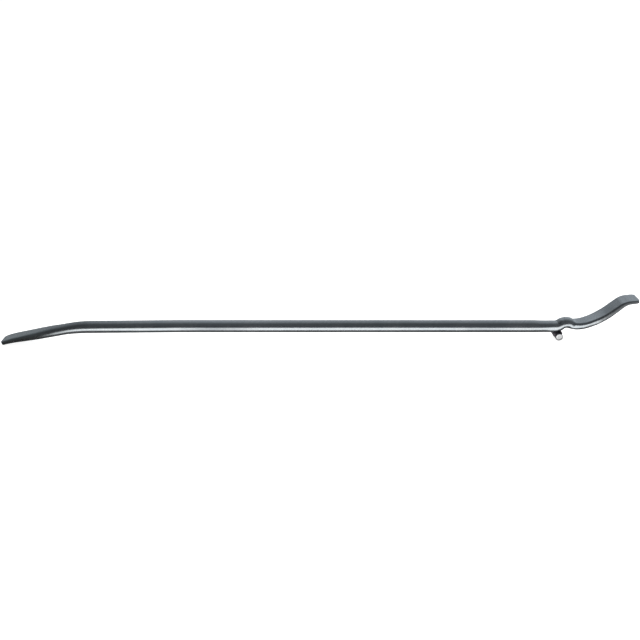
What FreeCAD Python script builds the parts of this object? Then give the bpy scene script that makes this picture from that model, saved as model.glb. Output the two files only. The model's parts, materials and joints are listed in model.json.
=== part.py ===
import FreeCAD, Part
import math
import os

# Truck tyre bar: a pry bar for tubeless tyres. One round steel bar is forged at both ends, a flat spoon at -X and
# a curved spoon at +X. Just before the curved spoon the bar rises in a hump, and a round stop pin is welded
# across its underside at the foot of the hump, so that the rim's flange sits in the notch between them. The bar
# is stored as it lies on a bench, on the flat spoon's tip and on the stop pin. Millimetres, +Z up, +X towards
# the curved spoon, +Y across the bar.

# ---- the bar -----------------------------------------------------------------------------------------------
OVERALL_LENGTH = 940.0        # tip to tip, along the straight part of the bar
BAR_DIAMETER = 18.4           # the round bar that both ends are forged from

# ---- flat spoon, from the round bar out to its tip -----------------------------------------------------------
SAG_BEND_LENGTH = 40.0        # the round bar is bent very slightly, well before the spoon
SAG_ANGLE = 0.6               # degrees down
SAG_LENGTH = 112.0            # round bar past that bend, straight again
SPOON_BEND_LENGTH = 40.0      # the main bend, where the bar starts to flatten
SPOON_BEND_ANGLE = 9.9        # degrees down
SPOON_SQUEEZE = 3.2           # height taken off the round bar by the end of the main bend
SPOON_SPREAD = 0.6            # width gained by the end of the main bend
SPOON_BLADE_LENGTH = 73.0     # straight stretch of the blade
SPOON_NOSE_LENGTH = 24.0      # the end of the blade, which droops a little more
SPOON_NOSE_ANGLE = 8.6        # degrees down
SPOON_WIDTH = 25.0
SPOON_THICKNESS = 7.9         # where the nose begins
SPOON_NOSE_THICKNESS = 5.9    # at the tip, before it is ground
SPOON_EDGE = 3.6              # thickness left at the tip
SPOON_EDGE_RADIUS = 3.2       # rounding along the blade's long edges
SPOON_CORNER = 5.0            # rounding of the tip's two corners, seen from above
SPOON_BEVEL_LENGTH = 10.0     # ground flat on top of the tip

# ---- curved spoon, from the round bar out to its tip ---------------------------------------------------------
NECK_LENGTH = 37.0            # straight, and hammered a little flat on top
NECK_SQUEEZE = 1.2            # height taken off the round bar's top
HUMP_RUN = 16.0               # length of the rise to the hump's crest
HUMP_RISE = 6.4               # height of the crest above the neck, at the bar's centre
HUMP_SQUEEZE = 3.4            # height taken off the round bar at the crest
SHOULDER_RUN = 14.0           # from the crest down to the flat root of the blade
SHOULDER_DROP = 3.1           # height that the bar's centre loses on the way
ROOT_WIDTH = 20.0             # blade just past the shoulder
ROOT_THICKNESS = 11.3
SWEEP_ROOT_RADIUS = 44.0      # first, tighter part of the upward curve
SWEEP_ROOT_ANGLE = 20.8       # degrees up
SWEEP_RADIUS = 103.0          # second part of the upward curve
SWEEP_ANGLE = 21.7            # degrees up
SLOPE_LENGTH = 16.4           # straight and steepest stretch of the blade
BLADE_WIDTH = 26.4
BLADE_THICKNESS = 7.7         # at the end of that stretch
BROW_RADIUS = 21.0            # the blade turns over towards level
BROW_ANGLE = 36.4             # degrees down
NOSE_LENGTH = 12.8            # nearly level end of the blade
NOSE_THICKNESS = 5.3
NOSE_EDGE = 1.2               # thickness left at the tip
BLADE_EDGE_RADIUS = 3.0       # rounding along the blade's long edges
BLADE_CORNER = 5.2            # rounding of the tip's two corners, seen from above
BLADE_BEVEL_LENGTH = 13.0     # ground flat under the tip

# ---- stop pin and its two welds -------------------------------------------------------------------------------
PIN_DIAMETER = 11.0
PIN_LENGTH = 22.0
PIN_CHAMFER = 0.9
PIN_SHARE = 0.15              # place along the hump's rise, 0 at its foot and 1 at its crest
PIN_SEAT = 0.7                # depth that the pin is let into the bar's underside
WELD_RADIUS = 3.4             # of the rounded outside of the bead on the shank's side
NOTCH_WELD_RADIUS = 2.2       # and of the slim one in the notch, which leaves the rim's flange its room
WELD_SETBACK = 3.5            # bare length of pin past each end of a bead
WELD_DEPTH = 0.5              # from the bar's underside down to a bead's middle, as a share of its radius

# ---- how the forged ends are built ----------------------------------------------------------------------------
SEAM_TOLERANCE = 0.001        # for joining the forged ends' surfaces to the round bar's
SECTION_STEP = 5.0            # distance between lofted sections where the shape changes
ROUND_STEP = 22.0             # and where the bar stays round
CORNER_SECTIONS = (0.0, 25.0, 48.0, 66.0)   # degrees round a tip's corners, one section at each
LEAST_FLAT = 0.03             # shortest flat of a hammered section, as a share of its height
CUTTER = 80.0                 # size of the blocks that grind the bevels

ORIGIN = FreeCAD.Vector(0, 0, 0)
ALONG = FreeCAD.Vector(1, 0, 0)
ACROSS = FreeCAD.Vector(0, 1, 0)
UP = FreeCAD.Vector(0, 0, 1)


def eased(xs, ys, x):
    """Smooth curve through given values that never overshoots them (monotone cubic)."""
    gaps = [b - a for a, b in zip(xs, xs[1:])]
    slopes = [(b - a) / gap for a, b, gap in zip(ys, ys[1:], gaps)]
    tangents = [0.0]
    for before, after in zip(slopes, slopes[1:]):
        tangents.append(0.0 if before * after <= 0 else 2 * before * after / (before + after))
    tangents.append(slopes[-1])
    i = max(k for k in range(len(gaps)) if k == 0 or xs[k] <= x)
    t = (x - xs[i]) / gaps[i]
    return (
        ys[i] * (1 + 2 * t) * (1 - t) ** 2
        + ys[i + 1] * t * t * (3 - 2 * t)
        + gaps[i] * (tangents[i] * t * (1 - t) ** 2 - tangents[i + 1] * t * t * (1 - t))
    )


class Path:
    """A centreline in the XZ plane made of tangent lines and arcs, with the bar's section marked along it."""

    def __init__(self):
        self.pieces = []      # (start distance, x, z, heading, curvature)
        self.marks = []       # (distance, width, height, corner radius, shift upwards)
        self.length = 0.0
        self.end = (0.0, 0.0, 0.0)

    def _add(self, length, curvature):
        self.pieces.append((self.length, *self.end, curvature))
        self.length += length
        self.end = self.at(self.length)

    def line(self, length):
        self._add(length, 0.0)

    def bend(self, length, degrees):
        self._add(length, math.radians(degrees) / length)

    def arc(self, radius, degrees):
        self.bend(radius * math.radians(abs(degrees)), degrees)

    def s_bend(self, run, rise):
        """Two equal arcs that shift the path sideways and leave its heading as it was."""
        half = 2 * math.atan(abs(rise) / run)
        radius = run / (2 * math.sin(half))
        turn = math.copysign(math.degrees(half), rise)
        self.arc(radius, turn)
        self.arc(radius, -turn)

    def at(self, distance):
        """x, z and heading at a distance along the path."""
        start, x, z, heading, curvature = max(p for p in self.pieces if p[0] <= distance + 1e-9)
        run = distance - start
        if abs(curvature) < 1e-9:
            return x + run * math.cos(heading), z + run * math.sin(heading), heading
        turned = heading + run * curvature
        dx = (math.sin(turned) - math.sin(heading)) / curvature
        dz = (math.cos(heading) - math.cos(turned)) / curvature
        return x + dx, z + dz, turned

    def mark(self, width, height, corner, shift=0.0, back=0.0):
        """Sets the section at the path's end so far, or a little back from it."""
        self.marks.append((self.length - back, width, height, corner, shift))

    def mark_round(self):
        self.mark(BAR_DIAMETER, BAR_DIAMETER, BAR_DIAMETER / 2)

    def section(self, distance):
        """Width, height, corner radius and upward shift at a distance along the path."""
        places = [mark[0] for mark in self.marks]
        return [eased(places, [mark[k] for mark in self.marks], distance) for k in range(1, 5)]

    def frame(self, distance):
        """The section's centre, and the directions along the path and square to it."""
        x, z, heading = self.at(distance)
        along = FreeCAD.Vector(math.cos(heading), 0, math.sin(heading))
        normal = FreeCAD.Vector(-math.sin(heading), 0, math.cos(heading))
        return FreeCAD.Vector(x, 0, z) + normal * self.section(distance)[3], along, normal


def flat_spoon_path():
    """The slightly bent end of the round bar and the flat spoon, drawn outwards as if along +X."""
    path = Path()
    path.mark_round()
    path.bend(SAG_BEND_LENGTH, -SAG_ANGLE)
    path.line(SAG_LENGTH)
    path.mark_round()
    path.bend(SPOON_BEND_LENGTH, -SPOON_BEND_ANGLE)
    path.mark(BAR_DIAMETER + SPOON_SPREAD, BAR_DIAMETER - SPOON_SQUEEZE, BAR_DIAMETER * 0.36)
    path.line(SPOON_BLADE_LENGTH)
    for width_share, height_share, corner, back_share in ((0.42, 0.58, 1.9, 0.75), (0.8, 0.33, 1.5, 0.4)):
        path.mark(
            BAR_DIAMETER + (SPOON_WIDTH - BAR_DIAMETER) * width_share,
            SPOON_THICKNESS + (BAR_DIAMETER - SPOON_THICKNESS) * height_share,
            SPOON_EDGE_RADIUS * corner,
            back=SPOON_BLADE_LENGTH * back_share,
        )
    path.mark(SPOON_WIDTH, SPOON_THICKNESS, SPOON_EDGE_RADIUS)
    path.bend(SPOON_NOSE_LENGTH, -SPOON_NOSE_ANGLE)
    path.mark(SPOON_WIDTH, SPOON_NOSE_THICKNESS, SPOON_EDGE_RADIUS * 0.9)
    return path


def curved_spoon_path():
    """The neck, the hump and the curved spoon, drawn along +X."""
    neck_height = BAR_DIAMETER - NECK_SQUEEZE
    crest_height = BAR_DIAMETER - HUMP_SQUEEZE
    lowered = -NECK_SQUEEZE / 2
    path = Path()
    path.mark_round()
    path.line(NECK_LENGTH)
    path.mark(BAR_DIAMETER, neck_height, neck_height * 0.46, lowered, back=NECK_LENGTH * 0.35)
    path.mark(BAR_DIAMETER, neck_height, neck_height * 0.46, lowered)
    path.s_bend(HUMP_RUN, HUMP_RISE)
    path.mark(BAR_DIAMETER, crest_height, crest_height * 0.43, lowered)
    path.s_bend(SHOULDER_RUN, -SHOULDER_DROP)
    path.mark(
        BAR_DIAMETER,
        crest_height - (crest_height - ROOT_THICKNESS) * 0.25,
        crest_height * 0.4,
        lowered,
        back=SHOULDER_RUN * 0.65,
    )
    path.mark(ROOT_WIDTH, ROOT_THICKNESS, BLADE_EDGE_RADIUS * 1.4, back=SHOULDER_RUN * 0.2)
    path.arc(SWEEP_ROOT_RADIUS, SWEEP_ROOT_ANGLE)
    path.mark(
        ROOT_WIDTH + (BLADE_WIDTH - ROOT_WIDTH) * 0.45,
        BLADE_THICKNESS + (ROOT_THICKNESS - BLADE_THICKNESS) * 0.8,
        BLADE_EDGE_RADIUS * 1.2,
    )
    path.arc(SWEEP_RADIUS, SWEEP_ANGLE)
    path.mark(
        ROOT_WIDTH + (BLADE_WIDTH - ROOT_WIDTH) * 0.96,
        BLADE_THICKNESS + (ROOT_THICKNESS - BLADE_THICKNESS) * 0.25,
        BLADE_EDGE_RADIUS,
    )
    path.line(SLOPE_LENGTH)
    path.mark(BLADE_WIDTH, BLADE_THICKNESS, BLADE_EDGE_RADIUS)
    path.arc(BROW_RADIUS, -BROW_ANGLE)
    path.mark(BLADE_WIDTH, NOSE_THICKNESS, BLADE_EDGE_RADIUS * 0.9)
    path.line(NOSE_LENGTH)
    path.mark(BLADE_WIDTH, NOSE_THICKNESS, BLADE_EDGE_RADIUS * 0.9)
    return path


def ring(corners, middles):
    """A closed wire of eight edges: an arc at each quarter, and a flat or another arc between the quarters."""
    edges = []
    for k, (first, middle, last) in enumerate(corners):
        edges.append(Part.Arc(first, middle, last).toShape())
        onward = corners[(k + 1) % 4][0]
        if middles:
            edges.append(Part.Arc(last, middles[k], onward).toShape())
        else:
            edges.append(Part.LineSegment(last, onward).toShape())
    return Part.Wire(edges)


def section_wire(path, distance, narrowed=0.0):
    """One section square to the path, less a little width on each side where a tip's corners are rounded."""
    centre, _, normal = path.frame(distance)
    width, height, corner, _ = path.section(distance)

    def spot(y, z, radius, degrees):
        angle = math.radians(degrees)
        across = y + radius * math.cos(angle)
        return centre + ACROSS * across + normal * (z + radius * math.sin(angle))

    if width == height and corner == height / 2:
        flat = math.degrees(math.asin(LEAST_FLAT))
        corners = [
            [spot(0, 0, corner, 90 * k + turn) for turn in (flat, 45, 90 - flat)] for k in range(4)
        ]
        return ring(corners, [spot(0, 0, corner, 90 * (k + 1)) for k in range(4)])
    corner = min(corner, height * (1 - LEAST_FLAT) / 2)
    y = width / 2 - corner - narrowed
    z = height / 2 - corner
    centres = ((y, z), (-y, z), (-y, -z), (y, -z))
    corners = [
        [spot(*middle, corner, 90 * k + turn) for turn in (0, 45, 90)] for k, middle in enumerate(centres)
    ]
    return ring(corners, None)


def round_run(path, length):
    """The stretch of a path over which the bar stays round."""
    count = max(1, round(length / ROUND_STEP))
    wires = [section_wire(path, length * k / count) for k in range(count + 1)]
    return Part.makeLoft(wires, True, True)


def forged_end(path, from_mark, tip_corner):
    """Lofts a forged end from one of its path's marks to its tip. Gives back the solid and its tip's distance."""
    plain = path.length - tip_corner
    stations = []
    places = [mark[0] for mark in path.marks[from_mark:]]
    for start, end in zip(places, places[1:]):
        count = max(1, round((end - start) / SECTION_STEP))
        stations += [start + (end - start) * k / count for k in range(count)]
    wires = [section_wire(path, station) for station in stations if station < plain - SECTION_STEP / 3]
    for degrees in CORNER_SECTIONS:
        angle = math.radians(degrees)
        tip = plain + tip_corner * math.sin(angle)
        wires.append(section_wire(path, tip, tip_corner * (1 - math.cos(angle))))
    return Part.makeLoft(wires, True, False), tip


def ground(shape, path, tip, side, length, edge):
    """The shape with a flat ground into its tip, on top (side 1) or beneath (side -1), down to the edge."""
    outer_centre, _, outer_normal = path.frame(tip)
    inner_centre, _, inner_normal = path.frame(tip - length)
    outer = outer_centre + outer_normal * side * (edge - path.section(tip)[1] / 2)
    inner = inner_centre + inner_normal * side * (path.section(tip - length)[1] / 2)
    block = Part.makeBox(CUTTER, CUTTER, CUTTER, FreeCAD.Vector(0, -CUTTER / 2, 0))
    turn = FreeCAD.Rotation(outer - inner, ACROSS * side, inner_normal * side, "XYZ")
    block.Placement = FreeCAD.Placement(inner, turn)
    return shape.cut(block)


def extents(shape):
    """The shape's tight bounding box."""
    return shape.optimalBoundingBox(False, False)


def flat_spoon():
    """The flat spoon and the round stretch behind it, as two solids that share one section."""
    path = flat_spoon_path()
    shape, tip = forged_end(path, 1, SPOON_CORNER)
    shape = ground(shape, path, tip, 1, SPOON_BEVEL_LENGTH, SPOON_EDGE)
    pair = [round_run(path, path.marks[1][0]), shape]
    for solid in pair:
        solid.rotate(ORIGIN, UP, 180)
    return pair


def curved_spoon():
    path = curved_spoon_path()
    shape, tip = forged_end(path, 0, BLADE_CORNER)
    return ground(shape, path, tip, -1, BLADE_BEVEL_LENGTH, NOSE_EDGE)


def joined(solids):
    """One solid from solids that follow each other along the bar, with no caps left between them."""
    faces = [face for solid in solids for face in solid.Faces]
    caps = [face for face in faces if isinstance(face.Surface, Part.Plane)]
    outer = []
    for face in faces:
        touching = [cap for cap in caps if cap.CenterOfMass.distanceToPoint(face.CenterOfMass) < SEAM_TOLERANCE]
        if face not in caps or len(touching) == 1:
            outer.append(face)
    shell = Part.makeShell(outer)
    shell.sewShape(SEAM_TOLERANCE)
    bar = Part.Solid(shell.Shells[0]).removeSplitter()
    return bar if bar.Volume > 0 else bar.reversed()


def pin_seat():
    """The stop pin's centre and the direction from it to its seat, measured from the curved spoon's start."""
    path = curved_spoon_path()
    crest = path.marks[3][0]
    distance = NECK_LENGTH + (crest - NECK_LENGTH) * PIN_SHARE
    middle, _, normal = path.frame(distance)
    reach = path.section(distance)[1] / 2 + PIN_DIAMETER / 2 - PIN_SEAT
    return middle - normal * reach, normal


def stop_pin(centre):
    pin = Part.makeCylinder(PIN_DIAMETER / 2, PIN_LENGTH, centre - ACROSS * (PIN_LENGTH / 2), ACROSS)
    rims = [edge for edge in pin.Edges if isinstance(edge.Curve, Part.Circle)]
    return pin.makeChamfer(PIN_CHAMFER, rims)


def weld_bead(centre, seat, side, radius, bar, pin):
    """A bead along one side of the pin, which fills the corner between it and the bar's underside."""
    length = PIN_LENGTH - 2 * WELD_SETBACK
    pin_radius = PIN_DIAMETER / 2
    spread = math.degrees(math.acos(1 - (PIN_SEAT + radius * WELD_DEPTH) / pin_radius))
    middle = centre + FreeCAD.Rotation(ACROSS, side * spread).multVec(seat) * pin_radius
    rod = Part.makeCylinder(radius, length, middle - ACROSS * (length / 2), ACROSS)
    return max(rod.cut(bar).cut(pin).Solids, key=lambda solid: solid.Volume)


def settle(pieces, centre):
    """Tips the tool until the flat spoon's tip and the stop pin stand on one level, then puts it on the origin."""
    bar, pin = pieces["forged_bar"], pieces["stop_pin"]
    for _ in range(3):
        box = extents(bar)
        gap = extents(pin).ZMin - box.ZMin
        pitch = math.degrees(gap / (centre.x - box.XMin))
        for shape in pieces.values():
            shape.rotate(centre, ACROSS, pitch)
    box = extents(bar)
    move = FreeCAD.Vector(-(box.XMin + box.XMax) / 2, 0, -box.ZMin)
    for shape in pieces.values():
        shape.translate(move)


def build():
    spoon_run, spoon = flat_spoon()
    blade = curved_spoon()
    shank_length = OVERALL_LENGTH + extents(spoon).XMin - extents(blade).XMax
    blade.translate(ALONG * shank_length)
    shank = Part.Face(section_wire(curved_spoon_path(), 0.0)).extrude(ALONG * shank_length)
    centre, seat = pin_seat()
    centre += ALONG * shank_length
    pin = stop_pin(centre)
    bar = joined([spoon, spoon_run, shank, blade]).cut(pin)
    pieces = {
        "forged_bar": bar,
        "stop_pin": pin,
        "weld_bead_handle_side": weld_bead(centre, seat, -1, WELD_RADIUS, bar, pin),
        "weld_bead_spoon_side": weld_bead(centre, seat, 1, NOTCH_WELD_RADIUS, bar, pin),
    }
    settle(pieces, centre)
    return pieces


def main():
    os.makedirs("parts", exist_ok=True)
    for name, shape in build().items():
        print(name, "solids", len(shape.Solids), "valid", shape.isValid(), "volume", round(shape.Volume, 1))
        shape.exportStep(f"parts/{name}.step")


main()
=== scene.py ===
import json
import math

import bmesh
import bpy
from mathutils import Matrix, Vector


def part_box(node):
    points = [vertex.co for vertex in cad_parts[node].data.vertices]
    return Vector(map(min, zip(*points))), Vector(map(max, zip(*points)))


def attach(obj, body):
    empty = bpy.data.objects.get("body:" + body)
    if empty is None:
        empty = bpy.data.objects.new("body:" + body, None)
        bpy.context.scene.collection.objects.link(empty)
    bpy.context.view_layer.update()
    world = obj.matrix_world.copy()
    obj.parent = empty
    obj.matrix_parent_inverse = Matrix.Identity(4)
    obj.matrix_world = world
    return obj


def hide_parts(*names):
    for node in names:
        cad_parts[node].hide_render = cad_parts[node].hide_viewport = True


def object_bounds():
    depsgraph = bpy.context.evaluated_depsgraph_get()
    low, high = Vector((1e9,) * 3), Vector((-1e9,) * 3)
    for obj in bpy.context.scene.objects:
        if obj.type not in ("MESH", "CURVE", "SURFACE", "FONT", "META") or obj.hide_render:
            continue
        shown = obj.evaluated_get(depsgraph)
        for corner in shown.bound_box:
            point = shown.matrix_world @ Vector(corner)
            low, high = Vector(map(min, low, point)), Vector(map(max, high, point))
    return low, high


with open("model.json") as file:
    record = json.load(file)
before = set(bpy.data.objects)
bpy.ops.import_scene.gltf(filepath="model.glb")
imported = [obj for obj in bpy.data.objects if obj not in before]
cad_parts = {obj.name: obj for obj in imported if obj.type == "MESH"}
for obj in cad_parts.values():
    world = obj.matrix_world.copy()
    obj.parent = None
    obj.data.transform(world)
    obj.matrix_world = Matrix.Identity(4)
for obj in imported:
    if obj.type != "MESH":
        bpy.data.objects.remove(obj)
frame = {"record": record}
CAD_LOW, CAD_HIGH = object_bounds()
bpy.ops.object.select_all(action="DESELECT")

MM = 0.001
ORIGIN = (0.0, 0.0, 0.0)

# ---- the tool's sizes, in millimetres ----------------------------------------------------------------------
BAR = 18.4                    # diameter of the round bar
SAG_BEND, SAG_ANGLE, SAG_RUN = 40.0, 0.6, 112.0
SPOON_BEND, SPOON_ANGLE, SPOON_BLADE = 40.0, 9.9, 73.0
SPOON_SPREAD, SPOON_SQUEEZE = 0.6, 3.2
SPOON_NOSE, SPOON_NOSE_ANGLE = 24.0, 8.6
SPOON_WIDTH, SPOON_THICK, SPOON_TIP_THICK, SPOON_CORNER = 25.0, 7.9, 5.9, 5.0
NECK, NECK_SQUEEZE, NECK_SINK = 37.0, 1.2, 0.4
HUMP_RUN, HUMP_RISE, HUMP_SQUEEZE = 16.0, 6.4, 3.4
SHOULDER_RUN, SHOULDER_DROP = 14.0, 3.1
ROOT_WIDTH, ROOT_THICK = 20.0, 11.3
SWEEP_ROOT_RADIUS, SWEEP_ROOT_ANGLE = 44.0, 20.8
SWEEP_RADIUS, SWEEP_ANGLE, SLOPE = 103.0, 21.7, 16.4
BROW_RADIUS, BROW_ANGLE, NOSE = 21.0, 36.4, 12.8
BLADE_WIDTH, BLADE_THICK, NOSE_THICK, BLADE_CORNER = 26.4, 7.7, 5.3, 5.2
WIDTH_TRIM, SPOON_TRIM, BLADE_TRIM = 0.2, 0.7, 0.3   # off the blades' widths and the two noses

PIN_SHARE, PIN_SEAT = 0.15, 0.7                # place along the hump's rise, and depth let in
PIN_CHAMFER, PIN_DENTS = 0.9, 0.1
PIN_END_RINGS = ((1.2, 0.0), (0.6, -0.12), (2.2, 0.08), (0.5, -0.10))   # width and height, from the rim inwards
BEAD_RADIUS, NOTCH_BEAD_RADIUS = 3.4, 2.2
BEAD_DEPTH = 0.5                               # of a bead's middle below the bar, as a share of its radius
PUDDLES, PUDDLE_LENGTH = 9, 0.5                # half a puddle's length, as a share of the bead's radius
VOXEL = 0.28                                   # cell that merges a bead's puddles

AROUND = 24                                    # points round each section before smoothing
SMOOTHING = 2                                  # subdivision levels
SWELL = 3 / (2 + math.cos(2 * math.pi / AROUND))   # a smoothed ring shrinks by this much
SHANK_RINGS = 24
SAG_STEP, SPOON_STEP = 12.0, 3.2               # spacing of sections, out to the flat spoon's tip
NECK_STEP, HUMP_STEP, BLADE_STEP = 4.0, 1.5, 2.8   # and out to the curved spoon's
HUMP_STRETCH = 34.0                            # length that takes the hump's spacing
CORNER_TURNS = (0, 20, 38, 54, 68)             # degrees round a tip's corners, one section at each
CREST_MARK = 3                                 # the curved spoon's mark at the hump's crest
SPOON_FADE, BLADE_FADE = (150.0, 60.0), (20.0, 30.0)   # hammering: from the shank's end, and growing over
NOISE_MIDDLE = 0.55


def mount(name):
    return next(m for m in frame["record"]["mounts"] if m["name"] == name)


SHANK = mount("shank")
ALONG = -Vector(SHANK["axis"])
UPRIGHT = Vector((-ALONG.z, 0, ALONG.x))
HALF_SHANK = SHANK["dims"]["length_mm"] * MM / 2
SHANK_LOW_END = Vector(SHANK["pos_m"]) - ALONG * HALF_SHANK
SHANK_HIGH_END = Vector(SHANK["pos_m"]) + ALONG * HALF_SHANK


# ---- centrelines and sections ----------------------------------------------------------------------
def eased(xs, ys, x):
    """Smooth curve through given values that never overshoots them."""
    gaps = [b - a for a, b in zip(xs, xs[1:])]
    slopes = [(b - a) / gap for a, b, gap in zip(ys, ys[1:], gaps)]
    tangents = [0.0]
    for before, after in zip(slopes, slopes[1:]):
        tangents.append(0.0 if before * after <= 0 else 2 * before * after / (before + after))
    tangents.append(slopes[-1])
    i = max(k for k in range(len(gaps)) if k == 0 or xs[k] <= x)
    t = (x - xs[i]) / gaps[i]
    return (
        ys[i] * (1 + 2 * t) * (1 - t) ** 2
        + ys[i + 1] * t * t * (3 - 2 * t)
        + gaps[i] * (tangents[i] * t * (1 - t) ** 2 - tangents[i + 1] * t * t * (1 - t))
    )


class Route:
    """A forged end's centreline in the bar's upright plane, with the section marked along it."""

    def __init__(self, start, sense):
        self.start, self.sense = start, sense
        self.pieces, self.marks = [], []
        self.length, self.end = 0.0, (0.0, 0.0, 0.0)

    def bend(self, length, degrees=0.0):
        self.pieces.append((self.length, *self.end, math.radians(degrees) / length))
        self.length += length
        self.end = self.at(self.length)

    def arc(self, radius, degrees):
        self.bend(radius * math.radians(abs(degrees)), degrees)

    def s_bend(self, run, rise):
        half = 2 * math.atan(abs(rise) / run)
        turn = math.copysign(math.degrees(half), rise)
        self.arc(run / (2 * math.sin(half)), turn)
        self.arc(run / (2 * math.sin(half)), -turn)

    def at(self, distance):
        start, x, z, heading, curvature = max(p for p in self.pieces if p[0] <= distance + 1e-9)
        run = distance - start
        if abs(curvature) < 1e-9:
            return x + run * math.cos(heading), z + run * math.sin(heading), heading
        turned = heading + run * curvature
        return (
            x + (math.sin(turned) - math.sin(heading)) / curvature,
            z + (math.cos(heading) - math.cos(turned)) / curvature,
            turned,
        )

    def mark(self, width, height, top, under, shift=0.0, back=0.0):
        """Sets the section here or a little back: its size, and how far its corners reach in and down."""
        self.marks.append((self.length - back, width, height, *top, *under, shift))

    def mark_round(self):
        half = BAR / 2
        self.mark(BAR, BAR, (half, half), (half, half))

    def section(self, distance):
        places = [m[0] for m in self.marks]
        return [eased(places, [m[k] for m in self.marks], distance) for k in range(1, 8)]

    def place(self, distance):
        """Where the section's middle stands, and its pitch about the crosswise axis."""
        x, z, heading = self.at(distance)
        shift = self.section(distance)[6]
        x, z = x - shift * math.sin(heading), z + shift * math.cos(heading)
        spot = self.start + (ALONG * (self.sense * x) + UPRIGHT * z) * MM
        tilt = math.atan2(ALONG.z, ALONG.x)
        return spot, tilt + self.sense * heading


def flat_spoon_route():
    route = Route(SHANK_LOW_END, -1)
    route.mark_round()
    route.bend(SAG_BEND, -SAG_ANGLE)
    route.bend(SAG_RUN)
    route.mark_round()
    route.bend(SPOON_BEND, -SPOON_ANGLE)
    route.mark(BAR + SPOON_SPREAD, BAR - SPOON_SQUEEZE, (7.6, 6.6), (8.4, 7.4), 0.1)
    route.bend(SPOON_BLADE)
    route.mark(21.2, 14.0, (6.6, 6.2), (7.0, 6.2), 0.3, back=SPOON_BLADE * 0.75)
    route.mark(23.6, 11.4, (5.2, 5.0), (5.0, 4.6), 0.2, back=SPOON_BLADE * 0.4)
    route.mark(SPOON_WIDTH, SPOON_THICK, (3.6, 3.8), (3.2, 3.0), 0.35)
    route.bend(SPOON_NOSE - SPOON_TRIM, -SPOON_NOSE_ANGLE)
    route.mark(SPOON_WIDTH - WIDTH_TRIM, SPOON_TIP_THICK, (2.6, 2.8), (2.4, 2.0), 0.3)
    return route


def curved_spoon_route():
    neck, crest, width = BAR - NECK_SQUEEZE, BAR - HUMP_SQUEEZE, BLADE_WIDTH - WIDTH_TRIM
    low = -NECK_SINK
    route = Route(SHANK_HIGH_END, 1)
    route.mark_round()
    route.bend(NECK)
    route.mark(18.2, neck, (8.2, 7.4), (9.1, 9.0), low, back=NECK * 0.35)
    route.mark(18.0, neck, (7.6, 7.0), (9.0, 9.0), low)
    route.s_bend(HUMP_RUN, HUMP_RISE)
    route.mark(18.2, crest + 0.5, (8.0, 8.2), (8.0, 6.8), low + 0.3)
    route.s_bend(SHOULDER_RUN, -SHOULDER_DROP)
    route.mark(18.0, 15.3, (7.2, 7.4), (7.2, 6.6), low + 0.3, back=SHOULDER_RUN * 0.64)
    route.mark(18.6, 13.2, (6.2, 5.8), (6.0, 5.8), low * 0.4, back=SHOULDER_RUN * 0.42)
    route.mark(ROOT_WIDTH, ROOT_THICK + 0.3, (3.4, 4.6), (3.6, 4.4), 0.2, back=SHOULDER_RUN * 0.24)
    route.arc(SWEEP_ROOT_RADIUS, SWEEP_ROOT_ANGLE)
    route.mark(22.9, 10.6, (3.2, 4.4), (3.4, 4.2), 0.15)
    route.arc(SWEEP_RADIUS, SWEEP_ANGLE)
    route.mark(width, 8.6, (3.0, 3.8), (3.0, 3.4), 0.15)
    route.bend(SLOPE)
    route.mark(width, BLADE_THICK, (2.8, 3.5), (2.8, 3.0))
    route.arc(BROW_RADIUS, -BROW_ANGLE)
    route.mark(width, NOSE_THICK + 0.5, (2.0, 2.6), (2.2, 2.4))
    route.bend(NOSE - BLADE_TRIM)
    route.mark(width, NOSE_THICK, (1.6, 2.2), (2.0, 2.2))
    return route


# ---- modelling ----------------------------------------------------------------------
def activate(piece):
    """Selects the piece alone."""
    bpy.ops.object.select_all(action="DESELECT")
    bpy.context.view_layer.objects.active = piece
    piece.select_set(True)


def start_piece(name):
    """An empty mesh of that name, open for editing."""
    piece = bpy.data.objects.new(name, bpy.data.meshes.new(name))
    bpy.context.scene.collection.objects.link(piece)
    activate(piece)
    bpy.ops.object.mode_set(mode="EDIT")
    return piece


def select(piece, wanted, kind="verts"):
    """Selects the points, edges or faces for which wanted(item) is true, and nothing else."""
    mode = {"verts": "VERT", "edges": "EDGE", "faces": "FACE"}[kind]
    bpy.ops.mesh.select_mode(type=mode)
    bpy.ops.mesh.select_all(action="DESELECT")
    shape = bmesh.from_edit_mesh(piece.data)
    for item in getattr(shape, kind):
        if wanted(item):
            item.select_set(True)
    bmesh.update_edit_mesh(piece.data)


def resize(value):
    bpy.ops.transform.resize(value=value, center_override=ORIGIN)


def move(value):
    bpy.ops.transform.translate(value=value)


def section_ring(piece, spot, pitch, section, narrowed=0.0):
    """One closed section: a circle pulled apart into four corners, then pitched and put in its place."""
    width, height, top_in, top_down, under_in, under_up, _ = section
    bpy.ops.mesh.primitive_circle_add(
        vertices=AROUND, radius=1.0, rotation=(math.pi / 2, -math.pi / AROUND, math.pi / 2)
    )
    shape = bmesh.from_edit_mesh(piece.data)
    ring = [v for v in shape.verts if v.select]
    quarters = {v: (v.co.y > 0, v.co.z > 0) for v in ring}
    for right, above in ((True, True), (False, True), (False, False), (True, False)):
        reach, drop = (top_in, top_down) if above else (under_in, under_up)
        for v in ring:
            v.select_set(quarters[v] == (right, above))
        shape.select_flush_mode()
        resize((1, reach * SWELL * MM, drop * SWELL * MM))
        side = (width / 2 - narrowed - reach) * MM
        lift = (height / 2 - drop) * MM
        move((0, side if right else -side, lift if above else -lift))
        shape = bmesh.from_edit_mesh(piece.data)
    for v in ring:
        v.select_set(True)
    shape.select_flush_mode()
    bpy.ops.transform.rotate(value=pitch, orient_axis="Y", center_override=ORIGIN)
    move(spot)


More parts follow.
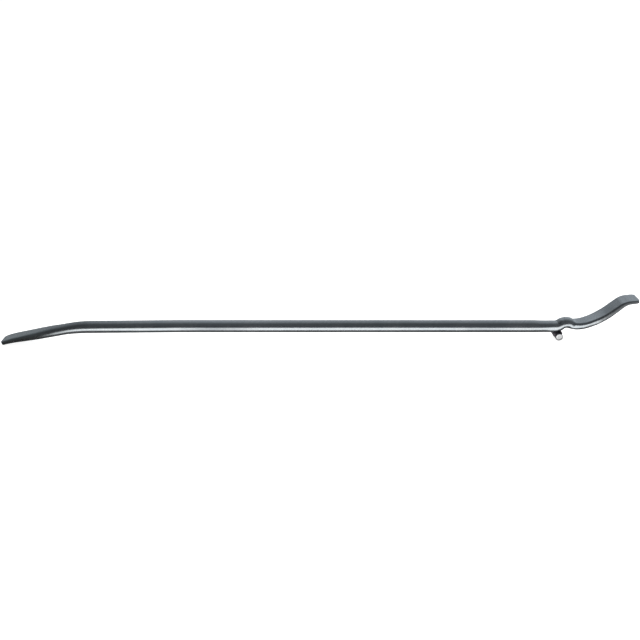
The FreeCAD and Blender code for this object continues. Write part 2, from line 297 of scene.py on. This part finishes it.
def stations(route, steps, tip_corner):
    """Distances along a route: (from, to, spacing) stretches, and then the tip's rounded corners."""
    plain = route.length - tip_corner
    found = []
    for low, high, spacing in steps:
        high = min(high, plain)
        count = max(1, round((high - low) / spacing))
        found += [(low + (high - low) * k / count, 0.0) for k in range(count)]
    for degrees in CORNER_TURNS:
        turn = math.radians(degrees)
        found.append((plain + tip_corner * math.sin(turn), tip_corner * (1 - math.cos(turn))))
    return found


def shank_rings(piece):
    """The straight round bar between the two forged ends, ends left out."""
    half = BAR / 2
    section = (BAR, BAR, half, half, half, half, 0.0)
    pitch = math.atan2(ALONG.z, ALONG.x)
    for k in range(1, SHANK_RINGS):
        spot = SHANK_LOW_END.lerp(SHANK_HIGH_END, k / SHANK_RINGS)
        section_ring(piece, spot, pitch, section)


def route_rings(piece, route, places):
    for distance, narrowed in places:
        spot, pitch = route.place(distance)
        section_ring(piece, spot, pitch, route.section(distance), narrowed)


def apply_all(piece):
    """Applies every modifier that the piece has."""
    activate(piece)
    for name in [m.name for m in piece.modifiers]:
        bpy.ops.object.modifier_apply(modifier=name)


def hammer(piece, name, size, depth, group=""):
    """Uneven surface from forging, in soft patches of that size, all over or as a vertex group weighs it."""
    noise = bpy.data.textures.new(name, "CLOUDS")
    noise.noise_scale = size * MM
    noise.noise_depth = 2
    sink = piece.modifiers.new(name, "DISPLACE")
    sink.texture = noise
    sink.texture_coords = "LOCAL"
    sink.direction = "NORMAL"
    sink.mid_level = NOISE_MIDDLE
    sink.strength = depth * MM
    sink.vertex_group = group


def weigh(piece, name, share):
    """A vertex group that holds share(place) for every point."""
    group = piece.vertex_groups.new(name=name)
    for v in piece.data.vertices:
        group.add([v.index], share(v.co), "REPLACE")


def ramp(low, high, value):
    t = min(1.0, max(0.0, (value - low) / (high - low)))
    return t * t * (3 - 2 * t)


def forged_share(place):
    """How far the hammering shows there: not at all on the shank, and fully on both spoons."""
    low_start, low_run = (length * MM for length in SPOON_FADE)
    high_start, high_run = (length * MM for length in BLADE_FADE)
    low, high = SHANK_LOW_END.x - low_start, SHANK_HIGH_END.x + high_start
    return max(ramp(low, low - low_run, place.x), ramp(high, high + high_run, place.x))


def grind(piece, tip):
    """Grinds a flat facet at a spoon's tip: cuts with the facet's plane and closes the cut."""
    bpy.ops.object.mode_set(mode="EDIT")
    spot, normal = Vector(tip["pos_m"]), Vector(tip["axis"])
    near = (CAD_LOW.x if spot.x < 0 else CAD_HIGH.x) * 0.9
    select(piece, lambda v: abs(v.co.x) > abs(near) and v.co.x * near > 0)
    bpy.ops.mesh.bisect(plane_co=spot, plane_no=normal, use_fill=True, clear_outer=True, threshold=1e-6)
    bpy.ops.object.mode_set(mode="OBJECT")


def finish_piece(piece, material, angle=35.0):
    """Smooth shading, finish, body and record slot."""
    activate(piece)
    bpy.ops.object.shade_smooth_by_angle(angle=math.radians(angle))
    piece.data.materials.clear()
    piece.data.materials.append(material)
    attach(piece, "root")


def forged_bar(material):
    """The whole forging: flat spoon, shank, neck, hump and curved spoon, in one skin."""
    piece = start_piece("forged_bar_skin")
    spoon, blade = flat_spoon_route(), curved_spoon_route()
    sag, hump = SAG_BEND + SAG_RUN, NECK + HUMP_STRETCH
    low_steps = ((0, sag, SAG_STEP), (sag, spoon.length, SPOON_STEP))
    high_steps = ((0, NECK, NECK_STEP), (NECK, hump, HUMP_STEP), (hump, blade.length, BLADE_STEP))
    route_rings(piece, spoon, reversed(stations(spoon, low_steps, SPOON_CORNER)))
    shank_rings(piece)
    route_rings(piece, blade, stations(blade, high_steps, BLADE_CORNER))
    bpy.ops.mesh.select_all(action="SELECT")
    bpy.ops.mesh.bridge_edge_loops()
    bpy.ops.mesh.select_all(action="DESELECT")
    bpy.ops.mesh.select_non_manifold()
    bpy.ops.mesh.edge_face_add()
    bpy.ops.mesh.select_all(action="SELECT")
    bpy.ops.mesh.normals_make_consistent(inside=False)
    bpy.ops.object.mode_set(mode="OBJECT")
    smooth = piece.modifiers.new("smooth", "SUBSURF")
    smooth.levels = smooth.render_levels = SMOOTHING
    apply_all(piece)
    weigh(piece, "forged", forged_share)
    hammer(piece, "hammering", 14, 0.35, "forged")
    hammer(piece, "scale", 2.2, 0.06, "forged")
    hammer(piece, "rolling", 60, 0.12)
    apply_all(piece)
    piece.vertex_groups.clear()
    grind(piece, mount("flat_spoon_tip"))
    grind(piece, mount("curved_spoon_tip"))
    finish_piece(piece, material)
    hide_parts("forged_bar")


def stop_pin(material):
    """A short length of round bar with its rims broken and a shallow centre on each sawn end."""
    low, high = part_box("stop_pin")
    middle = (low + high) / 2
    half = (high.y - low.y) / 2
    radius = (high.z - low.z) / 2 - PIN_DENTS * MM / 2
    bpy.ops.object.select_all(action="DESELECT")
    bpy.ops.mesh.primitive_cylinder_add(
        vertices=96, radius=radius, depth=high.y - low.y, location=middle, rotation=(math.pi / 2, 0, 0)
    )
    piece = bpy.context.object
    piece.name = piece.data.name = "stop_pin_skin"
    bpy.ops.object.transform_apply(location=True, rotation=True, scale=True)
    bpy.ops.object.mode_set(mode="EDIT")
    select(piece, lambda e: all(abs(abs(v.co.y - middle.y) - half) < 1e-6 for v in e.verts), "edges")
    bpy.ops.mesh.bevel(offset=PIN_CHAMFER * MM, segments=3, profile=0.6, affect="EDGES")
    select(piece, lambda f: abs(f.normal.y) > 0.99 and len(f.verts) > 8, "faces")
    for width, height in PIN_END_RINGS:
        bpy.ops.mesh.inset(thickness=width * MM, depth=height * MM)
    select(piece, lambda e: abs(e.verts[0].co.y - e.verts[1].co.y) > half, "edges")
    bpy.ops.mesh.subdivide(number_cuts=20)
    bpy.ops.object.mode_set(mode="OBJECT")
    hammer(piece, "pin_dents", 4, PIN_DENTS)
    apply_all(piece)
    finish_piece(piece, material)
    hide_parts("stop_pin")


def bead_middle(side, bead_radius):
    """Centre of a bead in the corner on one side of the pin: 1 towards the curved spoon, -1 the shank."""
    low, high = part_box("stop_pin")
    pin_radius = (high.z - low.z) / 2
    route = curved_spoon_route()
    crest = route.marks[CREST_MARK][0]
    heading = route.at(NECK + (crest - NECK) * PIN_SHARE)[2]
    seat = UPRIGHT * math.cos(heading) - ALONG * math.sin(heading)
    onward = ALONG * math.cos(heading) + UPRIGHT * math.sin(heading)
    spread = math.acos(1 - (PIN_SEAT + bead_radius * BEAD_DEPTH) * MM / pin_radius)
    return (low + high) / 2 + (seat * math.cos(spread) + onward * side * math.sin(spread)) * pin_radius


def weld_bead(node, side, bead_radius, material):
    """A weld laid in overlapping puddles along the corner between pin and bar."""
    low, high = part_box(node)
    middle = bead_middle(side, bead_radius)
    radius = bead_radius * MM
    thin = radius * PUDDLE_LENGTH
    length = high.y - low.y - 2 * thin
    piece = start_piece(node + "_skin")
    for k in range(PUDDLES):
        reach = radius * (0.94 + 0.03 * math.cos(2.4 * k))
        y = low.y + thin + length * k / (PUDDLES - 1)
        bpy.ops.mesh.primitive_uv_sphere_add(segments=24, ring_count=14, radius=1.0)
        resize((reach, thin, reach))
        move((middle.x, y, middle.z))
    bpy.ops.object.mode_set(mode="OBJECT")
    merge = piece.modifiers.new("merge", "REMESH")
    merge.mode = "VOXEL"
    merge.voxel_size = VOXEL * MM
    soften = piece.modifiers.new("soften", "SMOOTH")
    soften.factor, soften.iterations = 0.5, 2
    apply_all(piece)
    hammer(piece, node + "_grain", 1.2, 0.12)
    apply_all(piece)
    finish_piece(piece, material, 60.0)
    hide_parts(node)


# ---- finishes ----------------------------------------------------------------------
class Value:
    """A number that varies over the surface. Sums on it add Math nodes."""

    def __init__(self, nodes, socket):
        self.nodes, self.socket = nodes, socket

    def _math(self, operation, *values):
        return self.nodes.node("ShaderNodeMath", {"operation": operation}, dict(enumerate(values)))

    def __abs__(self):
        return self._math("ABSOLUTE", self)

    def __add__(self, other):
        return self._math("ADD", self, other)

    def __sub__(self, other):
        return self._math("SUBTRACT", self, other)

    def __mul__(self, other):
        return self._math("MULTIPLY", self, other)

    def __rsub__(self, other):
        return self._math("SUBTRACT", other, self)

    __radd__, __rmul__ = __add__, __mul__


class Nodes:
    """A node tree, with a method that adds any node by its type, its settings and its sockets."""

    def __init__(self, tree):
        self.tree = tree

    def node(self, kind, settings, sockets, output=0):
        made = self.tree.nodes.new(kind)
        for key, value in settings.items():
            setattr(made, key, value)
        for key, value in sockets.items():
            self.set(made.inputs[key], value)
        return Value(self, made.outputs[output]) if made.outputs else None

    def set(self, socket, value):
        if isinstance(value, Value):
            self.tree.links.new(value.socket, socket)
        else:
            socket.default_value = value

    def noise(self, scale, detail=4.0, roughness=0.55, stretch=(1, 1, 1)):
        """Soft noise from 0 to 1. Scale is in features per metre."""
        where = self.node("ShaderNodeMapping", {}, {"Vector": self.place, "Scale": stretch})
        sockets = {"Vector": where, "Scale": scale, "Detail": detail, "Roughness": roughness}
        return self.node("ShaderNodeTexNoise", {}, sockets, "Fac")

    def range(self, value, low, high, new_low=0.0, new_high=1.0, kind="SMOOTHSTEP"):
        """From new_low to new_high as the value goes from low to high, and held beyond."""
        sockets = dict(enumerate((value, low, high, new_low, new_high)))
        return self.node("ShaderNodeMapRange", {"interpolation_type": kind}, sockets)

    def axis(self, vector, letter):
        return self.node("ShaderNodeSeparateXYZ", {}, {0: vector}, letter)

    def mix(self, share, low, high):
        """A colour from low to high."""
        low, high = ((*colour, 1) if isinstance(colour, tuple) else colour for colour in (low, high))
        return self.node("ShaderNodeMix", {"data_type": "RGBA"}, {0: share, 6: low, 7: high}, 2)

    def bump(self, height, distance, strength, under=None):
        sockets = {"Height": height, "Distance": distance, "Strength": strength}
        if under:
            sockets["Normal"] = under
        return self.node("ShaderNodeBump", {}, sockets)


class Finish(Nodes):
    """One material: constants go on its shader's own sockets, and drive() links what varies."""

    def __init__(self, name, **constants):
        self.material = bpy.data.materials.new(name)
        self.material.use_nodes = True
        super().__init__(self.material.node_tree)
        self.shader = next(n for n in self.tree.nodes if n.type == "BSDF_PRINCIPLED")
        self.drive(**constants)
        self.place = self.node("ShaderNodeTexCoord", {}, {}, "Object")

    def drive(self, **values):
        for socket, value in values.items():
            self.set(self.shader.inputs[socket.replace("_", " ")], value)
        return self.material


def bar_steel():
    """Forged, blued and oiled bar stock: cool grey, darker and duller in random patches, worn at the flat tip.
    """
    f = Finish("blued_forged_steel", Metallic=1.0, IOR=1.5)
    patches = f.noise(28, 3, 0.6)
    grain = f.noise(900, 5, 0.6)
    drawn = f.noise(420, 4, 0.5, stretch=(0.05, 1, 1))
    specks = f.noise(2600, 2, 0.5)
    worn = f.range(f.axis(f.place, "X"), -0.44, -0.36, 0.8, 0.0)
    oxide = f.noise(330, 3, 0.7)
    steel = f.mix(f.range(patches, 0.3, 0.72), (0.64, 0.685, 0.72), (0.75, 0.785, 0.81))
    steel = f.mix(worn, steel, (0.86, 0.93, 0.94))
    steel = f.mix(f.range(oxide, 0.35, 0.65) * 0.35, steel, (0.50, 0.56, 0.57))
    steel = f.mix(f.range(grain, 0.42, 0.7) * 0.45, steel, (0.42, 0.47, 0.52))
    steel = f.mix(f.range(specks, 0.62, 0.75) * 0.35, steel, (0.2, 0.22, 0.25))
    rough = f.range(patches, 0.25, 0.75, 0.13, 0.19) + grain * 0.07 + drawn * 0.04
    skin = f.bump(drawn, 0.00004, 0.3, f.bump(grain, 0.00008, 0.35))
    return f.drive(Base_Color=steel, Roughness=rough, Normal=skin)


def pin_steel():
    """Rolled bar: dull and dark round the side, bright where its ends were sawn and ground."""
    f = Finish("ground_pin_steel", Metallic=1.0, IOR=1.5)
    facing = f.node("ShaderNodeTexCoord", {}, {}, "Normal")
    end = f.range(abs(f.axis(facing, "Y")), 0.55, 0.9)
    grain = f.noise(1500, 4, 0.6)
    marks = f.noise(500, 3, 0.5, stretch=(0.3, 1, 3))
    side = f.mix(f.range(grain, 0.35, 0.7), (0.30, 0.28, 0.31), (0.14, 0.13, 0.15))
    face = f.mix(f.range(marks, 0.4, 0.7), (0.98, 0.98, 0.98), (0.84, 0.86, 0.88))
    rough = f.range(end, 0, 1, 0.42, 0.3) + grain * 0.1
    return f.drive(Base_Color=f.mix(end, side, face), Roughness=rough, Normal=f.bump(marks, 0.00005, 0.4))


def weld_steel():
    """Weld metal left as laid: dark, with burnt blue and brown patches."""
    f = Finish("weld_metal", Metallic=0.85, IOR=1.5)
    patches = f.noise(350, 3, 0.6)
    grain = f.noise(2200, 4, 0.6)
    colour = f.mix(f.range(patches, 0.35, 0.65), (0.17, 0.155, 0.18), (0.27, 0.24, 0.27))
    colour = f.mix(f.range(grain, 0.6, 0.8) * 0.4, colour, (0.08, 0.08, 0.09))
    rough = f.range(patches, 0.3, 0.7, 0.45, 0.65)
    return f.drive(Base_Color=colour, Roughness=rough, Normal=f.bump(grain, 0.0001, 0.5))


# ---- studio, in metres and degrees ----------------------------------------------------------------------
FLOOR_SIZE, FLOOR_DEPTH = 80.0, -0.0002
CARD_HEIGHT = 0.00005                          # the card with the painted reflection of the floor: just above the floor, and seen in reflections alone
PIN_PLACE, HUMP_FOOT = 0.357, 0.345            # along the tool: the painted reflection strips change beside them
LOW_DIP, HIGH_DIP = -0.155, 0.254              # along the tool: the painted reflection strips, and so the bar's highlights, are dimmer round these
CAMERA_ELEVATION, CAMERA_REACH = 25.0, 1.1219
AIM_ALONG, AIM_UP = 0.18925, 0.01004           # the camera's aim, from the shank's end at the flat spoon
LENS, SENSOR = 42.55, 36.0


def big_plane(name, height):
    bpy.ops.object.select_all(action="DESELECT")
    bpy.ops.mesh.primitive_plane_add(size=FLOOR_SIZE, location=(0, 0, height))
    plane = bpy.context.object
    plane.name = plane.data.name = name
    return plane


def paper_floor():
    """Pale paper that glows a little, so that it stays as bright as the room behind it."""
    floor = big_plane("floor", FLOOR_DEPTH)
    paper = Finish(
        "pale_paper", Roughness=0.9, Specular_IOR_Level=0.0, Emission_Color=(1, 1, 1, 1), Emission_Strength=0.93
    )
    white = paper.mix(paper.noise(3.0, 3, 0.5), (0.80, 0.80, 0.80), (0.82, 0.82, 0.82))
    floor.data.materials.append(paper.drive(Base_Color=white))


def reflected_floor():
    """A glowing card that only reflections see, painted with what the bar mirrors of the floor: painted shade
    right beneath it, a painted bright strip on each side, then dim.
    """
    card = big_plane("floor_in_reflections", CARD_HEIGHT)
    card.visible_camera = card.visible_diffuse = card.visible_shadow = False
    glow = Finish(
        "bright_strips", Base_Color=(0, 0, 0, 1), Roughness=1.0, Specular_IOR_Level=0.0, Emission_Strength=1.0
    )
    x, y = glow.axis(glow.place, "X"), abs(glow.axis(glow.place, "Y"))
    # painted shade: how far the dark band beneath the bar reaches, wider under the spoons and narrower at the
    # pin
    shade = glow.range(x, 0.36, 0.42, 0.0, 0.030) + glow.range(x, -0.36, -0.24, 0.009, 0.0)
    shade = shade - glow.range(abs(x - PIN_PLACE), 0.005, 0.009, 0.005, 0.0)
    ends = glow.range(x, -0.425, -0.365) * glow.range(x, 0.428, 0.45, 1.0, 0.15)
    far = y + glow.range(abs(x - HUMP_FOOT), 0.03, 0.09, 0.045, 0.0)
    # painted bright strip, which the bar mirrors as its highlight
    strip = glow.range(y - shade, 0.0192, 0.0265) * glow.range(far, 0.09, 0.21, 1.0, 0.1) * ends
    # painted dimmer stretches of that highlight along the tool
    low_dip = glow.range(abs(x - LOW_DIP), 0.0, 0.085, 0.42, 0.0)
    high_dip = glow.range(abs(x - HIGH_DIP), 0.0, 0.05, 0.28, 0.0)
    light = glow.range(x, -0.43, -0.36, 0.02, 0.09) + strip * (1.15 - low_dip - high_dip)
    card.data.materials.append(glow.drive(Emission_Color=light))


def surround():
    """A dim room with a lighter back and a high window, which the camera sees as plain white."""
    world = bpy.data.worlds.new("surround")
    bpy.context.scene.world = world
    world.use_nodes = True
    world.node_tree.nodes.clear()
    room = Nodes(world.node_tree)
    way = room.node("ShaderNodeTexCoord", {}, {}, "Generated")
    across, onward, height = (room.axis(way, letter) for letter in "XYZ")
    behind = room.range(onward, -0.4, 1.0, 0.051, 0.26, "LINEAR")
    low = room.range(height, 0.0, 0.3, 0.1, 0.0) * room.range(onward, 0.0, 0.5)
    beside = room.range(across, -0.5, 0.6, 0.8, 1.8)
    window = room.range(abs(across + 0.15), 0.05, 0.22, 0.75, 0.0) * room.range(height, 0.35, 0.65)
    light = room.mix((behind + low) * (beside + window), (0.0, 0.0, 0.0), (0.94, 1.0, 1.06))
    dim = room.node("ShaderNodeBackground", {}, {0: light})
    pale = room.node("ShaderNodeBackground", {}, {0: (1, 1, 1, 1)})
    seen = room.node("ShaderNodeLightPath", {}, {}, "Is Camera Ray")
    both = room.node("ShaderNodeMixShader", {}, {0: seen, 1: dim, 2: pale})
    room.node("ShaderNodeOutputWorld", {}, {0: both})


def softbox():
    """One large soft light overhead, which reflections don't see."""
    lamp = bpy.data.lights.new("softbox", "AREA")
    lamp.shape, lamp.size, lamp.energy = "DISK", 3.0, 55.0
    light = bpy.data.objects.new("softbox", lamp)
    bpy.context.scene.collection.objects.link(light)
    light.location = (0.0, 0.2, 3.0)
    light.visible_glossy = False


def place_camera():
    """Level with the shank and looking down on it from the side."""
    elevation = math.radians(CAMERA_ELEVATION)
    middle = SHANK_LOW_END + ALONG * AIM_ALONG + UPRIGHT * AIM_UP
    back = Vector((0, -math.cos(elevation), 0)) + UPRIGHT * math.sin(elevation)
    up = Vector((0, math.sin(elevation), 0)) + UPRIGHT * math.cos(elevation)
    camera = bpy.data.objects.new("camera", bpy.data.cameras.new("camera"))
    bpy.context.scene.collection.objects.link(camera)
    camera.data.lens, camera.data.sensor_width = LENS, SENSOR
    camera.data.clip_start, camera.data.clip_end = 0.05, 200.0
    camera.location = middle + back * CAMERA_REACH
    turn = (ALONG.normalized(), up.normalized(), back.normalized())
    camera.rotation_mode = "QUATERNION"
    camera.rotation_quaternion = Matrix(turn).transposed().to_quaternion()
    bpy.context.scene.camera = camera


forged_bar(bar_steel())
stop_pin(pin_steel())
welds = weld_steel()
weld_bead("weld_bead_handle_side", -1, BEAD_RADIUS, welds)
weld_bead("weld_bead_spoon_side", 1, NOTCH_BEAD_RADIUS, welds)

paper_floor()
reflected_floor()
surround()
softbox()
place_camera()
bpy.context.scene.view_settings.view_transform = "Standard"
